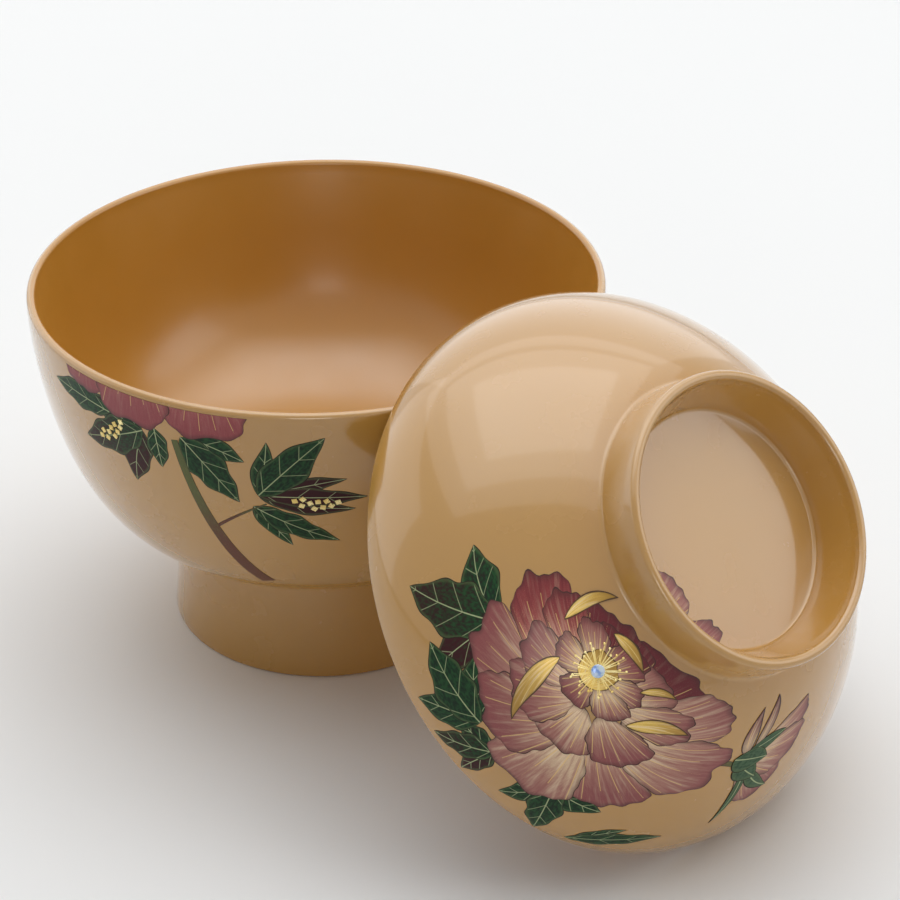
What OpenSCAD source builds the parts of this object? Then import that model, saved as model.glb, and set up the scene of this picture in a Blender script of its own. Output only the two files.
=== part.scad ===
// Lacquer soup bowl with its lid. The bowl stands on its foot and the lid leans on the bowl's rim.
// Each is turned from one block of wood with its foot or ring, and coated with lacquer.
// Lengths are in millimetres. The table is at zero height, under the middle of the pair.

/* [Bowl] */
// Outside diameter of the rim
bowl_d = 125; // [122:1:134]
// Height from the table to the rim
bowl_h = 82.2; // [78:0.2:88]
// Width of the rounded rim
bowl_rim_w = 1.9; // [1.6:0.1:2.6]
// Thickness of the bottom, over the hollow of the foot
bowl_bottom_t = 8.5; // [6:0.5:11]

/* [Foot] */
// Height of the foot, up to the bowl's underside
foot_h = 26.4; // [24:0.2:30]
// Outside diameter where it stands
foot_d = 70; // [66:0.5:74]
// How far the foot flares out from its waist, under the bowl, to where it stands
foot_flare = 2.4; // [1:0.1:4]
// Thickness of the foot's wall where it stands
foot_wall = 3.4; // [2.6:0.1:4.4]
// From the bowl's underside down to the ceiling of the foot's hollow
foot_hollow_drop = 4.4; // [2:0.2:8]
// Radius of the hollow's rounded corner
foot_hollow_fillet = 4; // [2:0.5:6]

/* [Lid] */
// How far the closed lid's edge lies inside the bowl's rim, all round
lid_inset = 5.1; // [4.2:0.1:8]
// Height of the dome, from its edge to the foot of the ring
lid_dome_h = 36.6; // [33:0.2:41]
// Width of the rounded edge
lid_rim_w = 1.9; // [1.6:0.1:2.6]
// Thickness of the dome inside the ring
lid_top_t = 4.5; // [3.5:0.5:6]
// Slope of the dome where it meets the ring, in degrees
lid_shoulder = 20; // [12:1:28]

/* [Ring] */
// Outside diameter of the ring where it leaves the dome
ring_d = 58.4; // [52:0.2:62]
// How far the ring narrows from the dome to its lip
ring_taper = 0.2; // [0:0.1:1]
// Height of the ring over the dome
ring_h = 9.7; // [7:0.1:12]
// Width of the ring's rounded lip
ring_lip_w = 2.1; // [1.6:0.1:2.8]
// Depth of the ring's hollow
ring_hollow_h = 9.7; // [7:0.1:11]
// Thickness of the ring's wall at the hollow's floor
ring_wall = 5.3; // [4:0.1:7]

/* [Lacquer] */
// Thickness of the lacquer coat
coat_t = 0.3; // [0.2:0.05:0.5]

/* [Gold and shell] */
// Side of a square gold chip
chip_w = 1.1; // [0.6:0.1:1.6]
// Thickness of a gold chip
chip_t = 0.12; // [0.08:0.02:0.2]
// Diameter of the shell dot
shell_d = 2.6; // [2:0.1:4]
// Thickness of the shell dot
shell_t = 0.5; // [0.3:0.05:0.8]

/* [Fits] */
// How far the closed lid's edge sits below the bowl's rim
seat_drop = 16; // [12:0.5:20]
// Play round the closed lid's edge
seat_play = 0.3; // [0.1:0.1:0.6]
// How far the leaning lid's edge reaches above the bowl's rim
lean_reach = 7.8; // [4:0.2:12]
// Air between the leaning lid's edge and the bowl's rim
lean_gap = 0.3; // [0.2:0.05:0.5]
// Air under a gold chip or the shell dot, where its glue is
glue_gap = 0.03; // [0.02:0.01:0.06]

/* [Hidden] */
$fn = 144;

// Steps along a wall's curve, and round a rim, a corner and a small edge
curve_steps = 36;
round_steps = 10;

// Radii worked out from the diameters
bowl_r = bowl_d / 2;
bowl_rim_r = bowl_rim_w / 2;
foot_r = foot_d / 2;
foot_waist_r = foot_r - foot_flare;
lid_r = bowl_r - lid_inset;
lid_rim_r = lid_rim_w / 2;
ring_r = ring_d / 2;
ring_lip_r = ring_r - ring_taper;
ring_lip_round_r = ring_lip_w / 2;
ring_floor_r = ring_r - ring_wall;

// Small roundings, each a share of the wall that carries it
foot_edge_share = 0.2;
foot_edge_r = foot_edge_share * foot_wall;
foot_fillet_share = 0.4;
foot_fillet_r = foot_fillet_share * foot_wall;
ring_fillet_share = 0.5;
ring_fillet_r = ring_fillet_share * ring_lip_w;
ring_corner_share = 0.4;
ring_corner_r = ring_corner_share * ring_lip_w;

// The foot's hollow. It narrows from its mouth to its corner, by a share of the foot's wall
foot_hollow_h = foot_h - foot_hollow_drop;
hollow_taper_share = 0.6;
hollow_mouth_r = foot_r - foot_wall;
hollow_top_r = hollow_mouth_r - hollow_taper_share * foot_wall;

// Handles of the walls' curves: first across, then up, as shares of the way from start to end.
// The lid's upper handle runs down its shoulder, for a share of the way from the ring to the edge
bowl_wall_shares = [[0, 0], [0.9, 0], [1.018, 0.9], [1, 1]];
bowl_inside_shares = [0.72, 0.24];
lid_edge_shares = [-0.063, 0.38];
lid_shoulder_share = 0.44;
lid_inside_shares = [[0, 0], [-0.03, 0.5], [0.28, 1], [1, 1]];

// Places of the gold chips on a leaf: along and across, counted in chip widths, then their turn
chip_places = [
    [-3.4, 0.3, 12], [-2.1, 1.1, 40], [-1.9, -0.5, 70], [-0.6, 0.5, 25], [0.5, -0.6, 55],
    [0.7, 1.2, 5], [1.9, 0.1, 80], [2.2, 1.7, 30], [3.3, 0.8, 60], [4.3, 1.9, 18]
];
// Leaves that carry chips: angle round the axis, place up the wall as a share, turn on the wall
chip_leaves = [[-85, 0.74, 30], [-44, 0.61, -15]];
// How much of the shell dot's thickness is its crown
shell_crown_share = 0.6;
// The shell dot, at the middle of the flower: angle round the axis, place up the wall as a share
shell_place = [-73, 0.74];

// A point between a and b, with its own share across and its own share up
function between(a, b, share) = [a.x + share.x * (b.x - a.x), a.y + share.y * (b.y - a.y)];
function spread(a, b, shares) = [for (share = shares) between(a, b, share)];

// A curve with two handles: one point, its direction, and a run of points
function curve_at(p, s) =
    pow(1 - s, 3) * p[0] + 3 * s * pow(1 - s, 2) * p[1] + 3 * s * s * (1 - s) * p[2] + s * s * s * p[3];
function curve_way(p, s) =
    pow(1 - s, 2) * (p[1] - p[0]) + 2 * s * (1 - s) * (p[2] - p[1]) + s * s * (p[3] - p[2]);
function curve(p) = [for (i = [0:curve_steps]) curve_at(p, i / curve_steps)];
function arc(middle, r, from, to) =
    [for (i = [0:round_steps]) let (a = from + (to - from) * i / round_steps) middle + r * [cos(a), sin(a)]];

// The same path without points that repeat, which lie nearer than a small share of the coat
same_point_share = 0.01;
function cleaned(path) = [for (i = [0:len(path) - 1])
    if (i == 0 || norm(path[i] - path[i - 1]) > same_point_share * coat_t) path[i]];
function unit(v) = v / norm(v);
function left_of(v) = [-v.y, v.x];
function reversed(path) = [for (i = [len(path) - 1:-1:0]) path[i]];

// A path moved to its left by the coat's thickness, with its two ends moved straight by first and last
function under_coat(path, first, last) =
    [for (i = [0:len(path) - 1])
        i == 0 ? path[0] + coat_t * first
        : i == len(path) - 1 ? path[i] + coat_t * last
        : let (a = unit(path[i] - path[i - 1]), b = unit(path[i + 1] - path[i]), n = unit(left_of(a + b)))
            path[i] + coat_t / (n * left_of(a)) * n];

// Bowl: the finished outside, from the standing face to the rim's crest
bowl_wall = spread(
    [foot_waist_r + foot_fillet_r, foot_h], [bowl_r, bowl_h - bowl_rim_r], bowl_wall_shares);
bowl_crest_r = bowl_r - bowl_rim_r;
bowl_outside = cleaned(concat(
    arc([foot_r - foot_edge_r, foot_edge_r], foot_edge_r, -90, 0),
    arc([foot_waist_r + foot_fillet_r, foot_h - foot_fillet_r], foot_fillet_r, 180, 90),
    curve(bowl_wall),
    arc([bowl_crest_r, bowl_h - bowl_rim_r], bowl_rim_r, 0, 90)));

// Bowl: the finished inside, from the rim's crest past the lid's seat to the middle of the bottom
inside_edge = [bowl_crest_r - bowl_rim_r, bowl_h - bowl_rim_r];
lid_seat = [lid_r + seat_play, bowl_h - seat_drop];
bowl_floor = [0, foot_hollow_h + bowl_bottom_t];
seat_slope = (lid_seat - inside_edge) / (inside_edge.y - lid_seat.y);
bowl_inside = cleaned(concat(
    arc([bowl_crest_r, bowl_h - bowl_rim_r], bowl_rim_r, 90, 180),
    curve([
        lid_seat,
        lid_seat + bowl_inside_shares[0] * (lid_seat.y - bowl_floor.y) * seat_slope,
        [lid_seat.x * (1 - bowl_inside_shares[1]), bowl_floor.y],
        bowl_floor
    ])));

// Bowl: the finished hollow under the foot, from the standing face to the middle
bowl_hollow = cleaned(concat(
    arc([hollow_mouth_r + foot_edge_r, foot_edge_r], foot_edge_r, -90, -180),
    arc([hollow_top_r - foot_hollow_fillet, foot_hollow_h - foot_hollow_fillet], foot_hollow_fillet, 0, 90),
    [[0, foot_hollow_h]]));

// Lid: the finished outside, from the edge over the dome and the ring to the middle of its hollow
lid_h = lid_dome_h + ring_h;
lid_crest_r = lid_r - lid_rim_r;
shoulder_way = [cos(lid_shoulder), -sin(lid_shoulder)];
lid_shoulder_turn = atan2(-cos(lid_shoulder), -sin(lid_shoulder));
ring_fillet_middle = [ring_r + ring_fillet_r, lid_dome_h + ring_fillet_r];
lid_edge = [lid_r, lid_rim_r];
lid_shoulder_end = ring_fillet_middle + ring_fillet_r * [cos(lid_shoulder_turn), sin(lid_shoulder_turn)];
lid_wall = [
    lid_edge,
    between(lid_edge, lid_shoulder_end, lid_edge_shares),
    lid_shoulder_end + lid_shoulder_share * (lid_r - ring_r) * shoulder_way,
    lid_shoulder_end
];
ring_floor_h = lid_h - ring_hollow_h;
ring_crest_r = ring_lip_r - ring_lip_round_r;
lid_outside = cleaned(concat(
    arc([lid_crest_r, lid_rim_r], lid_rim_r, -90, 0),
    curve(lid_wall),
    arc(ring_fillet_middle, ring_fillet_r, lid_shoulder_turn, -180),
    arc([ring_crest_r, lid_h - ring_lip_round_r], ring_lip_round_r, 0, 180),
    arc([ring_floor_r - ring_corner_r, ring_floor_h + ring_corner_r], ring_corner_r, 0, -90),
    [[0, ring_floor_h]]));

// Lid: the finished inside, from the edge to the middle of the dome
lid_inside = cleaned(concat(
    arc([lid_crest_r, lid_rim_r], lid_rim_r, -90, -180),
    curve(spread([lid_crest_r - lid_rim_r, lid_rim_r], [0, ring_floor_h - lid_top_t], lid_inside_shares))));

// The same surfaces on the wood, one coat deeper
up = [0, 1];
bowl_outside_wood = under_coat(bowl_outside, up, -up);
bowl_inside_wood = under_coat(bowl_inside, -up, -up);
bowl_hollow_wood = reversed(under_coat(reversed(bowl_hollow), up, up));
lid_outside_wood = under_coat(lid_outside, up, -up);
lid_inside_wood = reversed(under_coat(reversed(lid_inside), up, up));

// The leaning lid: its axis rises by lean, and its edge reaches over the bowl's rim
lean = acos((bowl_h + lean_reach) / (2 * lid_r));
lid_foot_h = (lid_crest_r * cos(lean) + lid_rim_r) - lid_rim_r * sin(lean);

// Least distance from the lid's edge to the bowl's rim, less than none where the edge cuts the rim
rim_middle = [bowl_crest_r, bowl_h - bowl_rim_r];
function edge_clearance(x) = min([for (a = [0:1:180])
    let (
        place = [
            x + lid_rim_r * cos(lean) - lid_crest_r * cos(a) * sin(lean),
            lid_crest_r * sin(a),
            lid_foot_h + lid_rim_r * sin(lean) + lid_crest_r * cos(a) * cos(lean)
        ],
        away = [norm([place.x, place.y]), place.z] - rim_middle
    ) (away.x < 0 && away.y < 0 ? -norm(away) : norm(away)) - bowl_rim_r - lid_rim_r]);
function lean_place(near, far, tries) =
    let (x = (near + far) / 2)
    tries == 0 ? x
    : edge_clearance(x) < lean_gap ? lean_place(x, far, tries - 1) : lean_place(near, x, tries - 1);
lean_tries = 30;
lid_x = lean_place(bowl_r / 2, bowl_r + lid_r, lean_tries);

// The pair's reach to both sides, which puts the middle of the pair at the origin
reach_back = max([for (p = bowl_outside) p.x]);
reach_front = max([for (p = lid_outside) lid_x + p.y * cos(lean) + p.x * sin(lean)]);
bowl_x = (reach_back - reach_front) / 2;

echo(bowl_x = bowl_x, lid_x = lid_x, lid_foot_h = lid_foot_h, lean = lean, reach = reach_back + reach_front);

module bowl_place() translate([bowl_x, 0, 0]) children();
module lid_place() bowl_place() translate([lid_x, 0, lid_foot_h]) rotate([0, 90 - lean, 0]) children();
module turned(outline) rotate_extrude() polygon(outline);
module coat(finished, wood) turned(concat(finished, reversed(wood)));

// What stands on a wall's curve p, at share s up it and at an angle round the axis, with its back on the wall
module on_wall(p, angle, s) {
    place = curve_at(p, s);
    way = curve_way(p, s);
    rotate([0, 0, angle]) translate([place.x, 0, place.y])
        rotate([0, atan2(way.y, -way.x), 0]) rotate([0, 0, 90]) translate([0, 0, glue_gap]) children();
}

// A scatter of square chips on each leaf. A chip's step across is an angle, and its step up is a share
module chips(p)
    for (leaf = chip_leaves, chip = chip_places) {
        step = chip_w * [
            chip.x * cos(leaf[2]) - chip.y * sin(leaf[2]),
            chip.x * sin(leaf[2]) + chip.y * cos(leaf[2])
        ];
        across = step.x / (PI * curve_at(p, leaf[1]).x) * 180;
        along = step.y / (3 * norm(curve_way(p, leaf[1])));
        on_wall(p, leaf[0] + across, leaf[1] + along)
            rotate([0, 0, chip[2]]) translate([-chip_w / 2, -chip_w / 2, 0]) cube([chip_w, chip_w, chip_t]);
    }

// Bowl: one piece of turned wood, its standing face bare
module bowl_core()
    color("tan") bowl_place() turned(cleaned(concat(
        [bowl_outside[0]], bowl_outside_wood, bowl_inside_wood, reversed(bowl_hollow_wood), [bowl_hollow[0]])));
module bowl_outer_coat() color("burlywood") bowl_place() coat(bowl_outside, bowl_outside_wood);
module bowl_inner_coat() color("peru") bowl_place() coat(bowl_inside, bowl_inside_wood);
module bowl_foot_coat() color("burlywood") bowl_place() coat(bowl_hollow, bowl_hollow_wood);
module bowl_gold_chips() color("gold") bowl_place() chips(bowl_wall);

// Lid: one piece of turned wood with its ring, leaning on the bowl
module lid_core()
    color("tan") lid_place() turned(cleaned(concat(lid_outside_wood, reversed(lid_inside_wood))));
module lid_outer_coat() color("burlywood") lid_place() coat(lid_outside, lid_outside_wood);
module lid_inner_coat() color("peru") lid_place() coat(lid_inside, lid_inside_wood);

// A round dot of shell with a low crown
module lid_shell_dot()
    color("lightblue") lid_place() on_wall(lid_wall, shell_place.x, shell_place.y) turned(concat(
        [[0, 0], [shell_d / 2, 0]],
        [for (i = [0:round_steps]) let (a = 90 * i / round_steps)
            [shell_d / 2 * cos(a), shell_t * (1 - shell_crown_share + shell_crown_share * sin(a))]]
    ));

bowl_core();
bowl_outer_coat();
bowl_inner_coat();
bowl_foot_coat();
bowl_gold_chips();
lid_core();
lid_outer_coat();
lid_inner_coat();
lid_shell_dot();
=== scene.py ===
"""Looks of a lacquer soup bowl with its leaning lid, on the shared frame.

The turned coats are spun again with fine steps. The painting is thin raised paint that follows each wall, drawn
in millimetres on the wall and laid on it. Every finish is procedural.
"""

import bisect
import logging
import math
from dataclasses import dataclass, field
from enum import Enum
from typing import Iterable, Optional, Protocol, Sequence, Union

import bmesh
import bpy
from mathutils import Matrix, Vector


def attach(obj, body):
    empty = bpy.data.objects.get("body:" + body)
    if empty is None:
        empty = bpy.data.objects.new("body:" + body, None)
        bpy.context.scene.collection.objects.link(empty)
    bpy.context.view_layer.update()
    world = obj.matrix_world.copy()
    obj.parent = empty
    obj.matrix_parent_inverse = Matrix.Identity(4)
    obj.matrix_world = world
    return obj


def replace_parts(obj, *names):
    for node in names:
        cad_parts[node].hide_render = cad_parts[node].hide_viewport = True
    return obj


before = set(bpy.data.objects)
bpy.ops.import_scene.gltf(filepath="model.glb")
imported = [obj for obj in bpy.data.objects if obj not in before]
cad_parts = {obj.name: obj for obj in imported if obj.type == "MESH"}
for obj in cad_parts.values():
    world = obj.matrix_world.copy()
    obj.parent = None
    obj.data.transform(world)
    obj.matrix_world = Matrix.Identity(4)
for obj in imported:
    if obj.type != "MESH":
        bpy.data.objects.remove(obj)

log = logging.getLogger("lacquer_bowl")
MM = 0.001

# Steps of a full turn and of a painted wall, and a petal's and a leaf's cells across and along.
TURN_STEPS = 216
WALL_STEPS = 300
PETAL_CELLS = (22, 30)
LEAF_CELLS = (12, 36)

# Edges past this angle stay sharp. Paint starts this many millimetres below its wall.
SHARP_ANGLE = 42.0
SINK = 0.04

# The mesh attributes that painted strokes carry.
BLADE = "blade"
BRIM = "brim"

Point = tuple[float, float]
Triple = tuple[float, float, float]
Colour = tuple[int, int, int]
Socket = bpy.types.NodeSocket
Material = bpy.types.Material
Value = Union[Socket, float, Sequence[float]]


class Body(Enum):
    """The moving bodies of the frame."""

    BOWL = "bowl"
    LID = "lid"


class Slot(Enum):
    """The material slots, each of which takes one finish."""

    WOOD = "wood"
    OUTER = "outer_lacquer"
    INNER = "inner_lacquer"
    GOLD = "gold"
    SHELL = "shell"


class Form(Enum):
    """How a painted blade's outline runs."""

    PETAL = "petal"
    LEAF = "leaf"
    STEM = "stem"


@dataclass(frozen=True)
class Sizes:
    """The turned forms' sizes in millimetres, as the CAD source has them."""

    bowl_r: float = 62.5
    bowl_h: float = 82.2
    rim_r: float = 0.95
    bowl_bottom_t: float = 8.5
    foot_h: float = 26.4
    foot_r: float = 35.0
    foot_flare: float = 2.4
    foot_wall: float = 3.4
    foot_hollow_h: float = 22.0
    foot_hollow_fillet: float = 4.0
    lid_r: float = 57.4
    dome_h: float = 36.6
    lid_top_t: float = 4.5
    shoulder: float = 20.0
    ring_r: float = 29.2
    ring_lip_r: float = 29.0
    ring_h: float = 9.7
    ring_lip_w: float = 2.1
    ring_floor_r: float = 23.9
    coat_t: float = 0.3
    seat_drop: float = 16.0
    seat_play: float = 0.3
    bowl_x: float = -38.0741
    lid_x: float = 84.8196
    lid_foot_h: float = 44.6155
    lean: float = 38.3743


S = Sizes()


def arc(middle: Point, radius: float, start: float, end: float, steps: int = 12) -> list[Point]:
    """Points along a circle's arc, from one angle in degrees to another, both ends included."""
    angles = [math.radians(start + (end - start) * i / steps) for i in range(steps + 1)]
    return [(middle[0] + radius * math.cos(a), middle[1] + radius * math.sin(a)) for a in angles]


def line(start: Point, end: Point, steps: int = 6) -> list[Point]:
    """Points along a straight run, without its two ends."""
    across, up = end[0] - start[0], end[1] - start[1]
    return [(start[0] + across * i / steps, start[1] + up * i / steps) for i in range(1, steps)]


def curve(handles: Sequence[Point], steps: int = 72) -> list[Point]:
    """Points along a curve with two handles.

    Args:
        handles: its start, two handles and end.
        steps: how many steps to take.

    Returns:
        The points, both ends included.
    """
    made = []
    for i in range(steps + 1):
        t = i / steps
        w = ((1 - t) ** 3, 3 * t * (1 - t) ** 2, 3 * t * t * (1 - t), t**3)
        made.append((sum(a * p[0] for a, p in zip(w, handles)), sum(a * p[1] for a, p in zip(w, handles))))
    return made


def joined(*runs: Sequence[Point]) -> list[Point]:
    """One path from several, without points that repeat.

    Args:
        runs: the paths in order.

    Returns:
        The joined path.
    """
    path: list[Point] = []
    for p in (p for run in runs for p in run):
        if not path or math.dist(p, path[-1]) > 0.003:
            path.append(p)
    return path


def spread(start: Point, end: Point, shares: Sequence[Point]) -> list[Point]:
    """Points between two, one for each pair of shares across and up."""
    return [(start[0] + a * (end[0] - start[0]), start[1] + b * (end[1] - start[1])) for a, b in shares]


def bowl_wall() -> list[Point]:
    """Handles of the bowl's outside wall, from the foot's fillet to the rim."""
    fillet = 0.4 * S.foot_wall
    start = (S.foot_r - S.foot_flare + fillet, S.foot_h)
    return spread(start, (S.bowl_r, S.bowl_h - S.rim_r), [(0, 0), (0.9, 0), (1.018, 0.9), (1, 1)])


def bowl_outside() -> list[Point]:
    """The bowl's finished outside, from the standing face to the rim's crest.

    Returns:
        The points.
    """
    edge, fillet = 0.2 * S.foot_wall, 0.4 * S.foot_wall
    waist = S.foot_r - S.foot_flare
    return joined(
        arc((S.foot_r - edge, edge), edge, -90, 0, 8),
        line((S.foot_r, edge), (waist, S.foot_h - fillet), 10),
        arc((waist + fillet, S.foot_h - fillet), fillet, 180, 90, 12),
        curve(bowl_wall(), 84),
        arc((S.bowl_r - S.rim_r, S.bowl_h - S.rim_r), S.rim_r, 0, 90, 12),
    )


def bowl_inside() -> list[Point]:
    """The bowl's finished inside, from the rim's crest to the middle of the bottom.

    Returns:
        The points.
    """
    crest = S.bowl_r - S.rim_r
    edge = (crest - S.rim_r, S.bowl_h - S.rim_r)
    seat = (S.lid_r + S.seat_play, S.bowl_h - S.seat_drop)
    floor = (0.0, S.foot_hollow_h + S.bowl_bottom_t)
    slope = ((seat[0] - edge[0]) / (edge[1] - seat[1]), -1.0)
    reach = 0.72 * (seat[1] - floor[1])
    handle = (seat[0] + reach * slope[0], seat[1] + reach * slope[1])
    return joined(
        arc((crest, S.bowl_h - S.rim_r), S.rim_r, 90, 180, 12),
        line(edge, seat, 8),
        curve([seat, handle, (seat[0] * 0.76, floor[1]), floor], 84),
    )


def bowl_hollow() -> list[Point]:
    """The finished hollow under the foot, from the standing face to the middle.

    Returns:
        The points.
    """
    edge = 0.2 * S.foot_wall
    mouth = S.foot_r - S.foot_wall
    top = mouth - 0.6 * S.foot_wall
    f = S.foot_hollow_fillet
    return joined(
        arc((mouth + edge, edge), edge, -90, -180, 8),
        line((mouth, edge), (top, S.foot_hollow_h - f), 6),
        arc((top - f, S.foot_hollow_h - f), f, 0, 90, 14),
        line((top - f, S.foot_hollow_h), (0.0, S.foot_hollow_h), 6),
        [(0.0, S.foot_hollow_h)],
    )


def lid_wall() -> list[Point]:
    """Handles of the lid's outside wall, from its edge to the ring's fillet.

    Returns:
        The handles.
    """
    a, f = math.radians(S.shoulder), 0.5 * S.ring_lip_w
    edge = (S.lid_r, S.rim_r)
    end = (S.ring_r + f - f * math.sin(a), S.dome_h + f - f * math.cos(a))
    reach = 0.44 * (S.lid_r - S.ring_r)
    first = spread(edge, end, [(-0.063, 0.38)])[0]
    return [edge, first, (end[0] + reach * math.cos(a), end[1] - reach * math.sin(a)), end]


def lid_ring_floor() -> list[Point]:
    """Handles of the flat floor inside the lid's ring, from its fillet to its middle."""
    step = (S.ring_floor_r - 0.4 * S.ring_lip_w) / 3
    return [(step * i, S.dome_h) for i in (3, 2, 1, 0)]


def lid_outside() -> list[Point]:
    """The lid's finished outside, from its edge over dome and ring to the middle of the ring's floor.

    Returns:
        The points.
    """
    f, c, lip = 0.5 * S.ring_lip_w, 0.4 * S.ring_lip_w, S.ring_lip_w / 2
    top = S.dome_h + S.ring_h
    crest = S.ring_lip_r - lip
    return joined(
        arc((S.lid_r - S.rim_r, S.rim_r), S.rim_r, -90, 0, 12),
        curve(lid_wall(), 72),
        arc((S.ring_r + f, S.dome_h + f), f, -90 - S.shoulder, -180, 10),
        line((S.ring_r, S.dome_h + f), (S.ring_lip_r, top - lip), 5),
        arc((crest, top - lip), lip, 0, 180, 24),
        line((crest - lip, top - lip), (S.ring_floor_r, S.dome_h + c), 5),
        arc((S.ring_floor_r - c, S.dome_h + c), c, 0, -90, 10),
        line((S.ring_floor_r - c, S.dome_h), (0.0, S.dome_h), 8),
        [(0.0, S.dome_h)],
    )


def lid_inside() -> list[Point]:
    """The lid's finished inside, from its edge to the middle of the dome.

    Returns:
        The points.
    """
    start = (S.lid_r - 2 * S.rim_r, S.rim_r)
    end = (0.0, S.dome_h - S.lid_top_t)
    return joined(
        arc((S.lid_r - S.rim_r, S.rim_r), S.rim_r, -90, -180, 12),
        curve(spread(start, end, [(0, 0), (-0.03, 0.5), (0.28, 1), (1, 1)]), 84),
    )


def under(path: Sequence[Point], first: float, last: float) -> list[Point]:
    """The path moved to its left by the coat's thickness, with its ends moved straight up or down.

    Args:
        path: the finished surface.
        first: 1 to move the first point up, -1 to move it down.
        last: the same for the last point.

    Returns:
        The wood side of the coat.
    """
    made = [(path[0][0], path[0][1] + S.coat_t * first)]
    for before, here, after in zip(path, path[1:], path[2:]):
        a = Vector((here[0] - before[0], here[1] - before[1])).normalized()
        b = Vector((after[0] - here[0], after[1] - here[1])).normalized()
        n = Vector((-(a + b).y, (a + b).x)).normalized()
        reach = S.coat_t / n.dot(Vector((-a.y, a.x)))
        made.append((here[0] + reach * n.x, here[1] + reach * n.y))
    return made + [(path[-1][0], path[-1][1] + S.coat_t * last)]


def film(path: list[Point], first: float, last: float, left: bool = True) -> list[Point]:
    """A coat's outline: out along its surface and back along the wood, which is to the left or the right."""
    return path + (under(path, first, last)[::-1] if left else under(path[::-1], last, first))


BOWL_PLACE = Matrix.Translation((S.bowl_x * MM, 0, 0))
LID_PLACE = (
    BOWL_PLACE
    @ Matrix.Translation((S.lid_x * MM, 0, S.lid_foot_h * MM))
    @ Matrix.Rotation(math.radians(90 - S.lean), 4, "Y")
)
PLACES = {Body.BOWL: BOWL_PLACE, Body.LID: LID_PLACE}


@dataclass(frozen=True)
class Grain:
    """A noise's scale and detail."""

    scale: float
    detail: float


class Graph:
    """A material's nodes, with short calls for the ones used here."""

    def __init__(self, name: str) -> None:
        """Starts a material.

        Args:
            name: the material's name.
        """
        self.material = bpy.data.materials.new(name)
        self.material.use_nodes = True
        self.tree = self.material.node_tree
        self.shader = self.tree.nodes["Principled BSDF"]

    def put(self, socket: Socket, value: Value) -> None:
        """Links a socket, or sets it where the value is a constant.

        Args:
            socket: the input.
            value: another node's output, or a constant.
        """
        if isinstance(value, Socket):
            self.tree.links.new(value, socket)
        else:
            socket.default_value = value

    def node(self, kind: str, inputs: Iterable[tuple[object, Value]], **settings: str) -> bpy.types.Node:
        """Adds a node.

        Args:
            kind: its type, without the prefix.
            inputs: its inputs, each by name or number.
            settings: its other settings by name.

        Returns:
            The node.
        """
        node = self.tree.nodes.new("ShaderNode" + kind)
        for name, value in settings.items():
            setattr(node, name, value)
        for key, value in inputs:
            self.put(node.inputs[key], value)
        return node

    def math(self, operation: str, *values: Value) -> Socket:
        """The result of a math node."""
        return self.node("Math", enumerate(values), operation=operation).outputs[0]

    def plus(self, a: Value, b: Value) -> Socket:
        """A sum."""
        return self.math("ADD", a, b)

    def minus(self, a: Value, b: Value) -> Socket:
        """A difference."""
        return self.math("SUBTRACT", a, b)

    def times(self, a: Value, b: Value) -> Socket:
        """A product."""
        return self.math("MULTIPLY", a, b)

    def over(self, a: Value, b: Value) -> Socket:
        """A share."""
        return self.math("DIVIDE", a, b)

    def around(self, value: Value, reach: float) -> Socket:
        """A value from 0 to 1 carried to both sides of 0, over the reach."""
        return self.times(self.minus(value, 0.5), reach)

    def place(self) -> Socket:
        """The point on the object, in metres."""
        return self.node("TexCoord", ()).outputs["Object"]

    def vector(self, *numbers: Value) -> Socket:
        """A vector of three numbers, of which the last may be left out."""
        return self.node("CombineXYZ", enumerate(numbers)).outputs[0]

    def parts(self, vector: Socket) -> tuple[Socket, ...]:
        """The three numbers of a vector."""
        return tuple(self.node("SeparateXYZ", [(0, vector)]).outputs)

    def attribute(self, name: str) -> tuple[Socket, ...]:
        """The three numbers of a mesh attribute."""
        return self.parts(self.node("Attribute", (), attribute_name=name).outputs["Vector"])

    def stroke(self) -> tuple[Socket, ...]:
        """Reads what a painted stroke carries.

        Returns:
            Across and along in millimetres, the share along, the length, the distance to the edge and the tone.
        """
        x, y, length = self.attribute(BLADE)
        edge, tone, _ = self.attribute(BRIM)
        return x, y, self.over(y, length), length, edge, tone

    def noise(self, grain: Grain, vector: Optional[Socket] = None) -> Socket:
        """A noise's strength, by the object's own coordinates unless others are given."""
        where = self.place() if vector is None else vector
        inputs = ("Vector", where), ("Scale", grain.scale), ("Detail", grain.detail)
        return self.node("TexNoise", inputs).outputs[0]

    def ramp(self, value: Value, low: float, high: float, start: float = 0.0, end: float = 1.0) -> Socket:
        """A value carried softly from one range, low to high, to another and held at its ends."""
        inputs = ("Value", value), ("From Min", low), ("From Max", high), ("To Min", start), ("To Max", end)
        return self.node("MapRange", inputs, interpolation_type="SMOOTHSTEP").outputs[0]

    def mix(self, factor: Value, a: Value, b: Value) -> Socket:
        """Two colours mixed. A constant one is given as it looks on a screen."""
        a, b = (rgb(*colour) if isinstance(colour, tuple) else colour for colour in (a, b))
        return self.node("Mix", ((0, factor), (6, a), (7, b)), data_type="RGBA").outputs[2]

    def bump(self, height: Value, strength: float, distance: float) -> Socket:
        """A bump's normal."""
        inputs = ("Height", height), ("Strength", strength), ("Distance", distance)
        return self.node("Bump", inputs).outputs[0]

    def finish(self, **inputs: Value) -> Material:
        """Sets the shader's inputs.

        Args:
            inputs: the inputs by name, with a low line for each space.

        Returns:
            The material.
        """
        for name, value in inputs.items():
            self.put(self.shader.inputs[name.replace("_", " ")], value)
        return self.material


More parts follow.
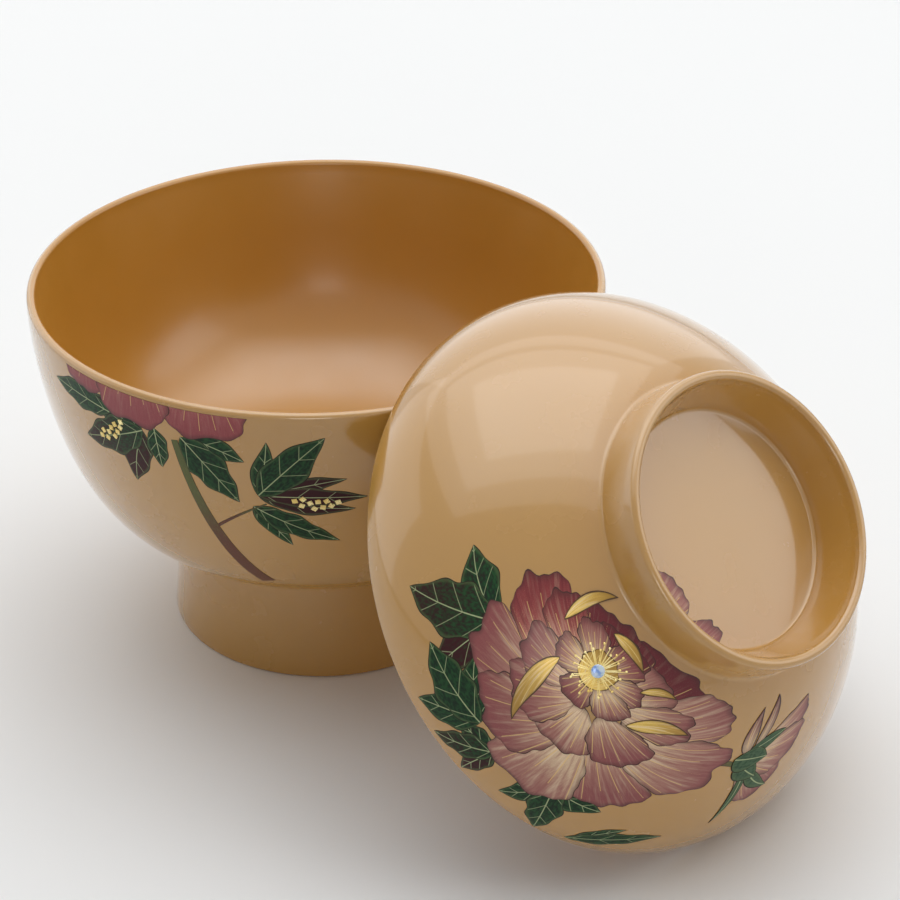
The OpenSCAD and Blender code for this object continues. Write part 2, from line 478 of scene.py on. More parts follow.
def rgb(r: int, g: int, b: int) -> tuple[float, float, float, float]:
    """A screen colour, 0 to 255, as linear light with full alpha."""
    linear = [(c / 255 / 12.92) if c < 11 else ((c / 255 + 0.055) / 1.055) ** 2.4 for c in (r, g, b)]
    return (*linear, 1.0)


@dataclass(frozen=True)
class Lacquer:
    """A lacquer coat: its colours, its gloss and how even it is."""

    name: str
    colour: Colour
    shade: Colour
    roughness: float
    coat: float
    coat_roughness: float
    ripple: float
    clouding: float = 0.6
    specks: float = 0.06
    cloud: Grain = Grain(22.0, 3.0)
    speck: Grain = Grain(2600.0, 2.0)
    wear: Grain = Grain(95.0, 4.0)
    wave: Grain = Grain(330.0, 1.0)

    def build(self) -> Material:
        """Makes the material.

        Returns:
            The material.
        """
        g = Graph(self.name)
        cloud = g.ramp(g.noise(self.cloud), 0.3, 0.7)
        speck = g.ramp(g.noise(self.speck), 0.62, 0.75)
        base = g.mix(g.times(cloud, self.clouding), self.colour, self.shade)
        base = g.mix(g.times(speck, self.specks), base, tuple(int(c * 0.8) for c in self.shade))
        worn = g.ramp(g.noise(self.wear), 0.35, 0.75, self.roughness, self.roughness * 1.35)
        ripple = g.bump(g.noise(self.wave), self.ripple, 0.0001)
        return g.finish(
            Base_Color=base, Roughness=worn, Normal=ripple, Coat_Weight=self.coat,
            Coat_Roughness=self.coat_roughness,
        )


@dataclass(frozen=True)
class Wood:
    """Bare turned wood, with fine growth rings and open pores."""

    name: str = "turned_wood"
    light: Colour = (205, 168, 122)
    dark: Colour = (172, 128, 82)
    pore: Colour = (120, 82, 48)
    rings: float = 1500.0
    drift: Grain = Grain(18.0, 3.0)
    fibre: Grain = Grain(420.0, 4.0)

    def build(self) -> Material:
        """Makes the material.

        Returns:
            The material.
        """
        g = Graph(self.name)
        x, y, z = g.parts(g.place())
        drift = g.times(g.noise(self.drift), 0.02)
        across = g.plus(g.plus(x, g.times(z, 0.15)), drift)
        ring = g.math("ABSOLUTE", g.math("SINE", g.times(across, self.rings)))
        fibre = g.noise(self.fibre, g.vector(g.times(x, 9.0), y, g.times(z, 9.0)))
        base = g.mix(ring, self.light, self.dark)
        base = g.mix(g.ramp(fibre, 0.5, 0.72, 0.0, 0.55), base, self.pore)
        rough = g.ramp(fibre, 0.3, 0.8, 0.5, 0.72)
        return g.finish(Base_Color=base, Roughness=rough, Normal=g.bump(fibre, 0.25, 0.0001))


@dataclass(frozen=True)
class GoldLeaf:
    """Gold laid on lacquer: brushed, a little worn, with a warm shade."""

    name: str = "gold_leaf"
    light: Colour = (252, 236, 172)
    dark: Colour = (224, 192, 104)
    grain: Grain = Grain(1800.0, 3.0)
    cloud: Grain = Grain(260.0, 3.0)

    def build(self) -> Material:
        """Makes the material.

        Returns:
            The material.
        """
        g = Graph(self.name)
        grain = g.noise(self.grain)
        base = g.mix(g.ramp(g.noise(self.cloud), 0.3, 0.7), self.light, self.dark)
        return g.finish(
            Base_Color=base,
            Metallic=g.ramp(grain, 0.2, 0.7, 0.8, 0.55),
            Roughness=g.ramp(grain, 0.3, 0.7, 0.24, 0.42),
            Normal=g.bump(grain, 0.3, 0.00004),
        )


@dataclass(frozen=True)
class Shell:
    """A polished dot of shell with a blue and green lustre."""

    name: str = "shell"
    blue: Colour = (118, 158, 226)
    pale: Colour = (206, 222, 240)
    green: Colour = (196, 226, 206)
    flow: Grain = Grain(700.0, 3.0)
    fleck: Grain = Grain(1300.0, 2.0)

    def build(self) -> Material:
        """Makes the material.

        Returns:
            The material.
        """
        g = Graph(self.name)
        flow = g.noise(self.flow)
        base = g.mix(g.ramp(flow, 0.35, 0.6), self.blue, self.pale)
        base = g.mix(g.ramp(g.noise(self.fleck), 0.55, 0.7, 0.0, 0.6), base, self.green)
        return g.finish(
            Base_Color=base, Roughness=g.ramp(flow, 0.3, 0.7, 0.12, 0.24), Metallic=0.15, Coat_Weight=1.0,
            Coat_Roughness=0.04, Normal=g.bump(flow, 0.2, 0.00005),
        )


@dataclass(frozen=True)
class PetalPaint:
    """Petal paint: a powdered pale heart that deepens to the tip, gold veins and a dark outline.

    Attributes:
        shimmer: how strongly the pale hairlines show.
        shade: how far in from the edge the paint is darker, in millimetres.
        vein_turn: the angle between two veins, in radians.
        hairs: how many hairlines a radian holds.
    """

    name: str
    heart: Colour
    body: Colour
    tip: Colour
    vein: Colour = (226, 190, 120)
    outline: Colour = (58, 26, 20)
    shimmer: float = 0.5
    shade: float = 1.7
    dust: Colour = (244, 226, 190)
    glow: Colour = (226, 204, 172)
    vein_turn: float = 0.165
    hairs: float = 30.0
    brush: Grain = Grain(1.6, 3.0)
    powder: Grain = Grain(5200.0, 2.0)
    hair: Grain = Grain(1.0, 1.0)

    def build(self) -> Material:
        """Makes the material.

        Returns:
            The material.
        """
        g = Graph(self.name)
        x, y, along, length, edge, tone = g.stroke()

        # The ground, brushed along the petal and dusted at its heart.
        brush = g.noise(self.brush, g.vector(g.times(x, 2.6), g.times(y, 0.35), g.times(tone, 37.0)))
        place = g.plus(g.plus(along, g.around(brush, 0.42)), g.around(tone, 0.35))
        base = g.mix(g.ramp(place, 0.12, 0.6), self.heart, self.body)
        base = g.mix(g.ramp(place, 0.5, 1.0), base, self.tip)
        powder = g.noise(self.powder)
        dust = g.times(g.ramp(powder, 0.5, 0.7, 0.0, 0.3), g.ramp(place, 0.0, 0.7, 1.0, 0.1))
        base = g.mix(dust, base, self.dust)

        # Hairlines that fan out from below the root, pale ones and deep ones.
        low = g.plus(y, g.times(length, 0.3))
        fan = g.plus(g.math("ARCTAN2", x, low), g.times(tone, 0.3))
        reach = g.math("SQRT", g.plus(g.times(x, x), g.times(low, low)))
        hair = g.noise(self.hair, g.vector(g.times(fan, self.hairs), g.times(reach, 0.12), g.times(tone, 71.0)))
        bright = g.times(g.ramp(hair, 0.52, 0.72, 0.0, self.shimmer), g.ramp(place, 0.3, 1.0, 1.0, 0.3))
        base = g.mix(bright, base, self.glow)
        base = g.mix(g.ramp(hair, 0.3, 0.48, 0.45, 0.0), base, self.tip)
        base = g.mix(g.ramp(edge, 0.1, self.shade, 0.5, 0.0), base, self.outline)

        # Gold veins on the same fan, each with an end of its own.
        turn = g.over(fan, self.vein_turn)
        cell = g.math("FLOOR", g.plus(turn, 0.5))
        off = g.times(g.times(g.math("ABSOLUTE", g.minus(turn, cell)), self.vein_turn), reach)
        chance = g.node("TexWhiteNoise", [("Vector", g.vector(cell, g.times(tone, 91.0)))]).outputs["Value"]
        ends = g.plus(0.62, g.times(chance, 0.26))
        vein = g.times(g.ramp(off, 0.04, 0.11, 1.0, 0.0), g.math("LESS_THAN", along, ends))
        vein = g.times(vein, g.ramp(along, 0.16, 0.3))
        vein = g.times(vein, g.math("GREATER_THAN", edge, 0.35))
        base = g.mix(g.times(vein, 0.7), base, self.vein)

        rim = g.ramp(g.plus(edge, g.around(brush, 0.2)), 0.14, 0.27, 1.0, 0.0)
        base = g.mix(rim, base, self.outline)
        shine = g.times(g.ramp(place, 0.05, 0.75, 0.55, 0.05), g.minus(1.0, rim))
        relief = g.plus(g.times(vein, 0.6), g.times(brush, 0.3))
        return g.finish(
            Base_Color=base, Metallic=shine, Roughness=g.ramp(powder, 0.3, 0.7, 0.34, 0.5),
            Specular_IOR_Level=0.3, Coat_Weight=0.2, Coat_Roughness=0.12, Normal=g.bump(relief, 0.4, 0.00008),
        )


@dataclass(frozen=True)
class LeafPaint:
    """Leaf paint: dark green that runs to maroon, pale veins and a paler brim.

    Attributes:
        ribs: how strongly the side veins show.
        rib_pairs: how many pairs of them a leaf has.
    """

    name: str
    green: Colour = (30, 70, 36)
    deep: Colour = (14, 36, 20)
    maroon: Colour = (54, 16, 20)
    vein: Colour = (172, 184, 138)
    brim: Colour = (98, 118, 74)
    outline: Colour = (34, 26, 16)
    ribs: float = 0.7
    rib_pairs: float = 3.6
    brush: Grain = Grain(1.1, 3.0)
    grain: Grain = Grain(2100.0, 2.0)

    def build(self) -> Material:
        """Makes the material.

        Returns:
            The material.
        """
        g = Graph(self.name)
        x, y, along, length, edge, tone = g.stroke()

        # The ground, redder with the stroke's tone and towards the tip.
        brush = g.noise(self.brush, g.vector(g.times(x, 2.0), y, g.times(tone, 50.0)))
        base = g.mix(g.ramp(brush, 0.35, 0.65), self.green, self.deep)
        red = g.plus(g.plus(g.times(tone, 1.1), g.times(along, 0.25)), g.around(brush, 0.5))
        base = g.mix(g.ramp(red, 0.62, 1.02), base, self.maroon)
        base = g.mix(g.ramp(edge, 0.25, 0.8, 0.35, 0.0), base, self.brim)

        # The middle vein, and side veins that slant away from it.
        side = g.math("ABSOLUTE", x)
        mid = g.ramp(g.plus(side, g.times(along, 0.06)), 0.07, 0.17, 1.0, 0.0)
        slant = g.minus(y, g.times(side, 1.15))
        pitch = g.over(length, self.rib_pairs)
        near = g.math("ABSOLUTE", g.minus(g.math("FRACT", g.plus(g.over(slant, pitch), 0.2)), 0.5))
        near = g.times(g.times(near, pitch), 0.66)
        rib = g.times(g.ramp(near, 0.03, 0.11, 1.0, 0.0), g.ramp(edge, 0.25, 0.6))
        rib = g.times(rib, g.math("GREATER_THAN", slant, 0.0))
        vein = g.math("MAXIMUM", mid, g.times(rib, self.ribs))
        base = g.mix(vein, base, self.vein)

        base = g.mix(g.ramp(edge, 0.08, 0.2, 1.0, 0.0), base, self.outline)
        grain = g.noise(self.grain)
        return g.finish(
            Base_Color=base, Roughness=g.ramp(grain, 0.3, 0.7, 0.4, 0.52), Specular_IOR_Level=0.15,
            Coat_Weight=0.1, Coat_Roughness=0.12,
            Normal=g.bump(g.plus(vein, g.times(grain, 0.2)), 0.35, 0.00008),
        )


@dataclass(frozen=True)
class StemPaint:
    """Stem paint: brown at the stem's foot that turns green by the flower, with a dark brim."""

    name: str = "stem_paint"
    brown: Colour = (98, 52, 34)
    green: Colour = (86, 92, 42)
    light: Colour = (132, 112, 66)
    brim: Colour = (70, 48, 24)
    brush: Grain = Grain(1.3, 3.0)

    def build(self) -> Material:
        """Makes the material.

        Returns:
            The material.
        """
        g = Graph(self.name)
        x, y, along, _, edge, tone = g.stroke()
        brush = g.noise(self.brush, g.vector(g.times(x, 3.0), y, tone))
        place = g.plus(along, g.around(brush, 0.3))
        base = g.mix(g.ramp(place, 0.3, 0.75), self.brown, self.green)
        base = g.mix(g.ramp(brush, 0.5, 0.8, 0.0, 0.4), base, self.light)
        base = g.mix(g.ramp(edge, 0.06, 0.18, 0.8, 0.0), base, self.brim)
        return g.finish(
            Base_Color=base, Roughness=g.ramp(brush, 0.3, 0.7, 0.3, 0.45), Specular_IOR_Level=0.25,
            Coat_Weight=0.2, Coat_Roughness=0.1, Normal=g.bump(brush, 0.4, 0.00008),
        )


@dataclass(frozen=True)
class Floor:
    """Pale matt table with a faint soft unevenness."""

    name: str = "pale_floor"
    colour: Colour = (235, 236, 236)
    shade: Colour = (214, 213, 212)
    cloud: Grain = Grain(3.0, 2.0)
    tooth: Grain = Grain(500.0, 2.0)

    def build(self) -> Material:
        """Makes the material.

        Returns:
            The material.
        """
        g = Graph(self.name)
        base = g.mix(g.times(g.noise(self.cloud), 0.05), self.colour, self.shade)
        return g.finish(Base_Color=base, Roughness=0.7, Normal=g.bump(g.noise(self.tooth), 0.05, 0.0001))


class Finish(Protocol):
    """Anything that makes a material."""

    def build(self) -> Material:
        """Makes the material."""


def made_by(finish: Finish) -> Material:
    """A field that holds a finish's material, made with the palette."""
    return field(default_factory=finish.build)


@dataclass
class Palette:
    """Every finish of the pair, made once."""

    outer: Material = made_by(
        Lacquer("outer_lacquer", (186, 139, 65), (180, 132, 59), 0.22, 1.0, 0.07, 0.006))
    # Painted shade: the inner coat's colours are a little deeper and yellower than the outer coat's, standing for
    # the shaded insides of bowl and lid.
    inner: Material = made_by(
        Lacquer("inner_lacquer", (187, 134, 50), (181, 127, 44), 0.3, 0.7, 0.22, 0.02))
    wood: Material = made_by(Wood())
    gold: Material = made_by(GoldLeaf())
    shell: Material = made_by(Shell())
    rose: Material = made_by(
        PetalPaint("rose_petal", (202, 174, 144), (168, 118, 104), (138, 72, 72)))
    wine: Material = made_by(
        PetalPaint("wine_petal", (184, 132, 108), (138, 54, 54), (98, 20, 30), shimmer=0.2))
    plum: Material = made_by(
        PetalPaint("plum_petal", (196, 150, 136), (158, 82, 82), (138, 56, 62), shimmer=0.12))
    amber: Material = made_by(
        PetalPaint("amber_petal", (226, 190, 96), (196, 156, 70), (168, 128, 52), (232, 204, 130), (74, 48, 18),
                   shimmer=0.7, shade=0.5))
    leaf: Material = made_by(LeafPaint("leaf_paint"))
    sepal: Material = made_by(
        LeafPaint("sepal_paint", green=(70, 98, 70), deep=(46, 74, 50), ribs=0.0))
    stem: Material = made_by(StemPaint())


def piece(
    name: str, bm: bmesh.types.BMesh, material: Material, body: Body
) -> bpy.types.Object:
    """Turns finished mesh data into a piece that rides on its body.

    Args:
        name: the piece's name.
        bm: its mesh, in the shared frame. It is freed.
        material: its finish.
        body: the body that it rides on.

    Returns:
        The new object.
    """
    mesh = bpy.data.meshes.new(name)
    bm.to_mesh(mesh)
    bm.free()
    mesh.polygons.foreach_set("use_smooth", [True] * len(mesh.polygons))
    mesh.set_sharp_from_angle(angle=math.radians(SHARP_ANGLE))
    mesh.materials.append(material)
    made = bpy.data.objects.new(name, mesh)
    bpy.context.scene.collection.objects.link(made)
    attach(made, body.value)
    log.info("%s: %d faces", name, len(mesh.polygons))
    return made


@dataclass(frozen=True)
class Coat:
    """A turned coat of lacquer that stands for its CAD node."""

    name: str
    node: str
    body: Body
    slot: Slot
    loop: list[Point]
    closed: bool = False

    def build(self, material: Material) -> bpy.types.Object:
        """Spins the coat round its axis.

        Args:
            material: its finish.

        Returns:
            The piece.
        """
        bm = bmesh.new()
        verts = [bm.verts.new((r * MM, 0, z * MM)) for r, z in self.loop]
        edges = [bm.edges.new(pair) for pair in zip(verts, verts[1:])]
        if self.closed:
            edges.append(bm.edges.new((verts[-1], verts[0])))
        bmesh.ops.spin(
            bm, geom=verts + edges, cent=(0, 0, 0), axis=(0, 0, 1), dvec=(0, 0, 0), angle=2 * math.pi,
            steps=TURN_STEPS, use_merge=True, use_normal_flip=False, use_duplicate=False,
        )
        bmesh.ops.remove_doubles(bm, verts=bm.verts, dist=1e-7)
        bmesh.ops.recalc_face_normals(bm, faces=bm.faces)
        bm.transform(PLACES[self.body])
        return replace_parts(piece(self.name, bm, material, self.body), self.node)


class Wall:
    """A turned wall that carries painting, measured in millimetres along its curve."""

    def __init__(self, handles: Sequence[Point], body: Body, ends: Point) -> None:
        """Measures the wall.

        Args:
            handles: the wall's curve.
            body: the body that it belongs to.
            ends: how far from the curve's two ends the painting stops.
        """
        self.points = curve(handles, WALL_STEPS)
        self.body = body
        self.lengths = [0.0]
        for a, b in zip(self.points, self.points[1:]):
            self.lengths.append(self.lengths[-1] + math.dist(a, b))
        self.low, self.high = ends[0], self.lengths[-1] - ends[1]

    def up(self, share: float) -> float:
        """The length along the wall at a share of its curve."""
        return self.lengths[round(share * WALL_STEPS)]


@dataclass(frozen=True)
class Spot:
    """A place on a wall that strokes are laid round, and how far they are stretched there."""

    wall: Wall
    angle: float
    start: float
    stretch: Point = (1.0, 1.0)

    def on(self, x: float, y: float, lift: float) -> Vector:
        """A point on the wall.

        Args:
            x: millimetres across from the spot, with the angle.
            y: millimetres up the wall from the spot.
            lift: height over the wall.

        Returns:
            The point in the shared frame, in metres.
        """
        wall = self.wall
        up = min(max(self.start + y * self.stretch[1], wall.low), wall.high)
        i = min(max(bisect.bisect_right(wall.lengths, up) - 1, 0), WALL_STEPS - 1)
        t = (up - wall.lengths[i]) / (wall.lengths[i + 1] - wall.lengths[i])
        (r0, z0), (r1, z1) = wall.points[i], wall.points[i + 1]
        r, z = r0 + t * (r1 - r0), z0 + t * (z1 - z0)
        way = Vector((r1 - r0, z1 - z0)).normalized()
        turn = math.radians(self.angle) + x * self.stretch[0] / r
        out, rise = r + lift * way.y, z - lift * way.x
        return PLACES[wall.body] @ (Vector((out * math.cos(turn), out * math.sin(turn), rise)) * MM)


@dataclass(frozen=True)
class Blade:
    """One painted petal, leaf or stem, in millimetres on its wall.

    Attributes:
        x, y: its root, across and up the wall.
        turn: where it points, in degrees from up the wall.
        bend: how far it bends from root to tip, in degrees.
        tone: 0 to 1, which moves its colours and its frill.
        waves, notch: how deep a petal's frill and its notch are.
        root: a petal's width at its root, as a share.
        teeth: how many teeth a leaf's side has.
    """

    form: Form
    x: float
    y: float
    turn: float
    length: float
    width: float
    height: float = 0.06
    bend: float = 0.0
    tone: float = 0.5
    waves: float = 0.0
    notch: float = 0.0
    root: float = 0.35
    teeth: int = 0

    def outline(self, u: float, v: float) -> Triple:
        """A point of the blade before it bends.

        Args:
            u: across, -1 to 1.
            v: along, 0 to 1.

        Returns:
            Across and along in millimetres, and the distance to the outline.
        """
        if self.form is Form.PETAL:
            w = 2 * v - 1
            x, y = u * math.sqrt(1 - w * w / 2), w * math.sqrt(1 - u * u / 2)
            radius, around = math.hypot(x, y), math.atan2(y, x)
            rise = (y + 1) / 2
            frill = math.cos(7 * around + 9 * self.tone) + 0.45 * math.cos(16 * around + 31 * self.tone)
            swell = 1 + self.waves * frill * radius**4 * min(1.0, 2 * rise)
            x, y = x * swell, y * swell
            y -= self.notch * math.exp(-((x / 0.17) ** 2)) * radius**4 * (1 if y > 0 else 0)
            half = self.width / 2 * (self.root + (1 - self.root) * max(rise, 0.0) ** 0.8)
            edge = (1 - max(abs(u), abs(w))) * min(self.width, self.length) / 2
            return x * half, (y + 1) / 2 * self.length, edge
        if self.form is Form.LEAF:
            half = self.width / 2 * (math.sin(math.pi * min(v, 1.0) ** 0.8) ** 0.9 if 0 < v < 1 else 0.0)
            tooth = 1 + 0.1 * math.sin(2 * math.pi * v * self.teeth + 1.2 * u) * abs(u) ** 3
        else:
            half, tooth = self.width / 2 * (1.25 - 0.7 * v), 1.0
        return u * half * tooth, v * self.length, (1 - abs(u)) * half

    def add(self, bm: bmesh.types.BMesh, spot: Spot) -> None:
        """Adds the blade to a mesh as a thin raised solid on the wall.

        Args:
            bm: the mesh, with its two paint layers.
            spot: where the painting is laid.
        """
        across, along = PETAL_CELLS if self.form is Form.PETAL else LEAF_CELLS
        sheet = bmesh.ops.create_grid(bm, x_segments=across, y_segments=along, size=1.0)["verts"]
        blade, brim = (bm.verts.layers.float_vector[layer] for layer in (BLADE, BRIM))
        turn = math.radians(self.turn)
        for vert in sheet:
            x, y, edge = self.outline(vert.co.x, (vert.co.y + 1) / 2)
            vert[blade] = (x, y, self.length)
            vert[brim] = (edge, self.tone, 1.0)
            if abs(self.bend) > 0.5:
                b, r = math.radians(self.bend) * y / self.length, self.length / math.radians(self.bend)
                x, y = r * (1 - math.cos(b)) + x * math.cos(b), r * math.sin(b) - x * math.sin(b)
            right, up = x * math.cos(turn) + y * math.sin(turn), y * math.cos(turn) - x * math.sin(turn)
            vert.co = (self.x + right, self.y + up, 0)
        faces = list(dict.fromkeys(face for vert in sheet for face in vert.link_faces))
        raised = bmesh.ops.extrude_face_region(bm, geom=faces, use_keep_orig=True)["geom"]
        top = [v for v in raised if isinstance(v, bmesh.types.BMVert)]
        for verts, lift in ((top, self.height), (sheet, -SINK)):
            for vert in verts:
                vert.co = spot.on(vert.co.x, vert.co.y, lift)


@dataclass(frozen=True)
class Dot:
    """A small raised dot of gold at a stamen's end."""

    x: float
    y: float
    radius: float
    height: float

    def add(self, bm: bmesh.types.BMesh, spot: Spot) -> None:
        """Adds the dot to a mesh.

        Args:
            bm: the mesh.
            spot: where the painting is laid.
        """
        made = bmesh.ops.create_uvsphere(bm, u_segments=12, v_segments=8, radius=self.radius)["verts"]
        for vert in made:
            x, y, z = vert.co
            vert.co = spot.on(self.x + x, self.y + y, self.height + z * 0.5)


Stroke = Union[Blade, Dot]


@dataclass
class Painting:
    """Strokes of one finish, painted round one spot of a wall."""

    name: str
    spot: Spot
    strokes: list[Stroke]

    def build(self, material: Material) -> bpy.types.Object:
        """Makes the piece.

        Args:
            material: the paint.

        Returns:
            The piece.
        """
        bm = bmesh.new()
        for layer in (BLADE, BRIM):
            bm.verts.layers.float_vector.new(layer)
        for stroke in self.strokes:
            stroke.add(bm, self.spot)
        bmesh.ops.remove_doubles(bm, verts=bm.verts, dist=2e-7)
        bmesh.ops.recalc_face_normals(bm, faces=bm.faces)
        return piece(self.name, bm, material, self.spot.wall.body)


def ring_of(count: int, first: float, middle: Point, out: float, **shape: float) -> list[Blade]:
    """Petals round a point.

    Args:
        count: how many.
        first: the first one's turn, in degrees.
        middle: the ring's middle.
        out: how far from the middle they start.
        shape: the petals' own sizes.

    Returns:
        The petals, each with its own tone and a slightly different size.
    """
    made = []
    for i in range(count):
        turn = first + 360 * i / count + 7 * math.sin(5.1 * i + first)
        tone = 0.5 + 0.5 * math.sin(2.3 * i + first * 0.13)
        a = math.radians(turn)
        own = dict(shape)
        own["length"] *= 1 + 0.1 * math.sin(3.7 * i + first)
        own["width"] *= 1 + 0.08 * math.cos(2.9 * i)
        own["height"] += 0.008 * (i % 3)
        x, y = middle[0] + out * math.sin(a), middle[1] + out * math.cos(a)
        made.append(Blade(Form.PETAL, x, y, turn, tone=tone, **own))
    return made


def parted(blades: list[Blade], way: float) -> tuple[list[Blade], list[Blade]]:
    """The blades that point within 60 degrees of a way, and the others."""
    near = [b for b in blades if math.cos(math.radians(b.turn - way)) > 0.5]
    return near, [b for b in blades if b not in near]


def spray(
    x: float, y: float, turn: float, size: float, tone: float, height: float, spread_by: float
) -> list[Blade]:
    """A leaf of three pointed lobes from one stalk.

    Args:
        x: the stalk's end, across.
        y: the stalk's end, up the wall.
        turn: the middle lobe's turn, in degrees.
        size: the middle lobe's length.
        tone: 0 is green and 1 is maroon.
        height: how high the paint stands.
        spread_by: the angle between two lobes, in degrees.

    Returns:
        The three lobes.
    """
    left, right = min(tone + 0.15, 1.0), max(tone - 0.12, 0.0)
    return [
        Blade(Form.LEAF, x, y, turn - spread_by, size * 0.76, size * 0.4, height, -20, left, teeth=2),
        Blade(Form.LEAF, x, y, turn + spread_by, size * 0.72, size * 0.38, height, 20, right, teeth=2),
        Blade(Form.LEAF, x, y, turn, size, size * 0.46, height + 0.012, 8, tone, teeth=3),
    ]


def petals(*rows: Sequence[float]) -> list[Blade]:
    """Petals, each from its x, y, turn, length, width, height, tone, waves and notch."""
    return [Blade(Form.PETAL, *row[:6], 0.0, *row[6:]) for row in rows]


def leaves(*rows: Sequence[float]) -> list[Blade]:
    """Leaves, each from its x, y, turn, length, width, height, bend, tone and teeth."""
    return [Blade(Form.LEAF, *row[:8], teeth=row[8]) for row in rows]


@dataclass
class LidPainting:
    """The flower on the lid, with its leaves, its bud, its gold and the heart round the shell dot.

    Attributes:
        floor: the floor inside the ring, which carries two petals.
        angle: the flower's middle, in degrees round the lid's axis.
        share: the flower's middle, as a share of the wall's curve.
        wide: how far the petals are stretched, across and up.
        stamens: how many there are.
    """

    palette: Palette
    wall: Wall
    floor: Wall
    angle: float = -73.0
    share: float = 0.74
    wide: Point = (1.34, 0.84)
    stamens: int = 30

    def build(self) -> None:
        """Paints the lid."""
        self.flower()
        self.gold()
        self.heart()
        self.greens()
        self.bud()

    def paint(
        self, name: str, strokes: Sequence[Stroke], material: Material, stretch: Point = (1.0, 1.0)
    ) -> None:
        """Paints strokes round the dot.

        Args:
            name: the piece's name.
            strokes: its strokes.
            material: the paint.
            stretch: how far they are stretched, across and up.
        """
        spot = Spot(self.wall, self.angle, self.wall.up(self.share), stretch)
        Painting(name, spot, strokes).build(material)

    def flower(self) -> None:
        """Paints the petals, wine red where they point up and back."""
        p = self.palette
        outer = ring_of(9, 12, (5.2, -8.4), 4.5, length=18.2, width=18.4, height=0.05, waves=0.05, notch=0.14)
        middle = ring_of(8, 30, (2.6, -4.2), 3.4, length=11.8, width=12.8, height=0.09, waves=0.05, notch=0.12)
        inner = ring_of(
            6, 8, (0.4, -0.6), 1.8, length=6.6, width=7.8, height=0.13, waves=0.05, notch=0.1, root=0.5
        )
        wine, rose = parted(outer + middle, -48)
        self.paint("lid_wine_petals", wine, p.wine, self.wide)
        self.paint("lid_outer_petals", rose, p.rose, self.wide)
        self.paint("lid_inner_petals", inner, p.rose, self.wide)

    def gold(self) -> None:
        """Paints the turned gold edges of some petals, and the two petals inside the ring."""
        p = self.palette
        turned = leaves(
            (-11.5, 0.0, -12, 12.0, 2.6, 0.17, 62, 0.3, 1),
            (-3.5, 6.5, 70, 10.0, 2.4, 0.17, 50, 0.6, 1),
            (8.6, 2.5, 38, 7.5, 1.9, 0.17, 60, 0.5, 1),
            (12.0, -4.0, 50, 12.5, 3.2, 0.17, 44, 0.4, 1),
            (-6.5, -4.0, -170, 15.5, 3.8, 0.17, -52, 0.7, 1),
        )
        self.paint("lid_gold_petals", turned, p.amber)
        inside = petals(
            (0.5, -9.0, -4, 15.5, 14.0, 0.05, 0.15, 0.035, 0.1), (8.0, -9.5, 14, 14.0, 11.0, 0.08, 0.7, 0.03, 0.1)
        )
        Painting("lid_floor_petals", Spot(self.floor, self.angle, 0.0), inside).build(p.rose)

    def heart(self) -> None:
        """Paints the heart and the stamens round the dot."""
        p = self.palette
        fan = Blade(Form.PETAL, 0, -3.6, 0, 7.2, 8.6, 0.17, tone=0.35, waves=0.05, root=0.9)
        self.paint("lid_heart", [fan], p.amber)
        threads, dots = [], []
        for i in range(self.stamens):
            turn = i * 360 / self.stamens + 4 * math.sin(i * 2.7)
            reach = 3.2 + 0.8 * math.sin(i * 1.9)
            across, up = math.sin(math.radians(turn)), math.cos(math.radians(turn))
            threads.append(Blade(Form.STEM, 1.2 * across, 1.2 * up, turn, reach, 0.24, 0.21, 4, 0.5))
            dots.append(Dot((1.3 + reach) * across, (1.3 + reach) * up, 0.26, 0.2))
        self.paint("lid_stamens", threads + dots, p.gold)

    def greens(self) -> None:
        """Paints the leaves."""
        made = (
            spray(-19.0, -11.5, -138, 21.0, 0.6, 0.03, 36) + spray(-5.0, -24.0, -98, 18.0, 0.16, 0.035, 27)
            + spray(1.5, -25.5, -140, 13.0, 0.6, 0.03, 30) + spray(14.0, -22.5, 148, 15.0, 0.08, 0.035, 50)
        )
        made += leaves(
            (27.0, -33.5, 52, 18.0, 4.8, 0.05, 18, 0.12, 3),
            (28.0, -32.5, 26, 10.0, 3.4, 0.045, 20, 0.05, 2),
        )
        self.paint("lid_leaves", made, self.palette.leaf)

    def bud(self) -> None:
        """Paints the bud, its stalk and its sepals."""
        p = self.palette
        made = petals(
            (43.0, -4.0, 72, 13.0, 11.0, 0.06, 0.2, 0.04, 0),
            (43.5, -5.5, 122, 16.5, 12.0, 0.07, 0.5, 0.04, 0),
            (43.0, -4.5, 97, 15.5, 12.0, 0.09, 0.3, 0.04, 0),
        )
        made += leaves(
            (43.0, -3.5, -6, 12.0, 2.6, 0.1, -30, 0.1, 0),
            (42.0, -4.0, -46, 11.5, 3.0, 0.1, 34, 0.1, 0),
        )
        self.paint("lid_bud", made, p.rose)
        self.paint("lid_stalks", [Blade(Form.STEM, 31.0, -4.4, 95, 13.0, 1.3, 0.05, 8, 0.4)], p.stem)
        sepals = leaves(
            (44.5, -7.0, 136, 16.0, 2.0, 0.1, 40, 0.1, 0),
            (46.0, -7.5, 128, 14.0, 2.6, 0.1, -20, 0.2, 0),
            (41.5, -3.5, 66, 8.5, 3.6, 0.13, 12, 0.1, 0),
            (41.5, -5.5, 120, 10.0, 4.2, 0.13, -8, 0.15, 0),
            (39.5, -4.6, 95, 9.5, 5.2, 0.15, 0, 0.05, 0),
        )
        self.paint("lid_sepals", sepals, p.sepal)


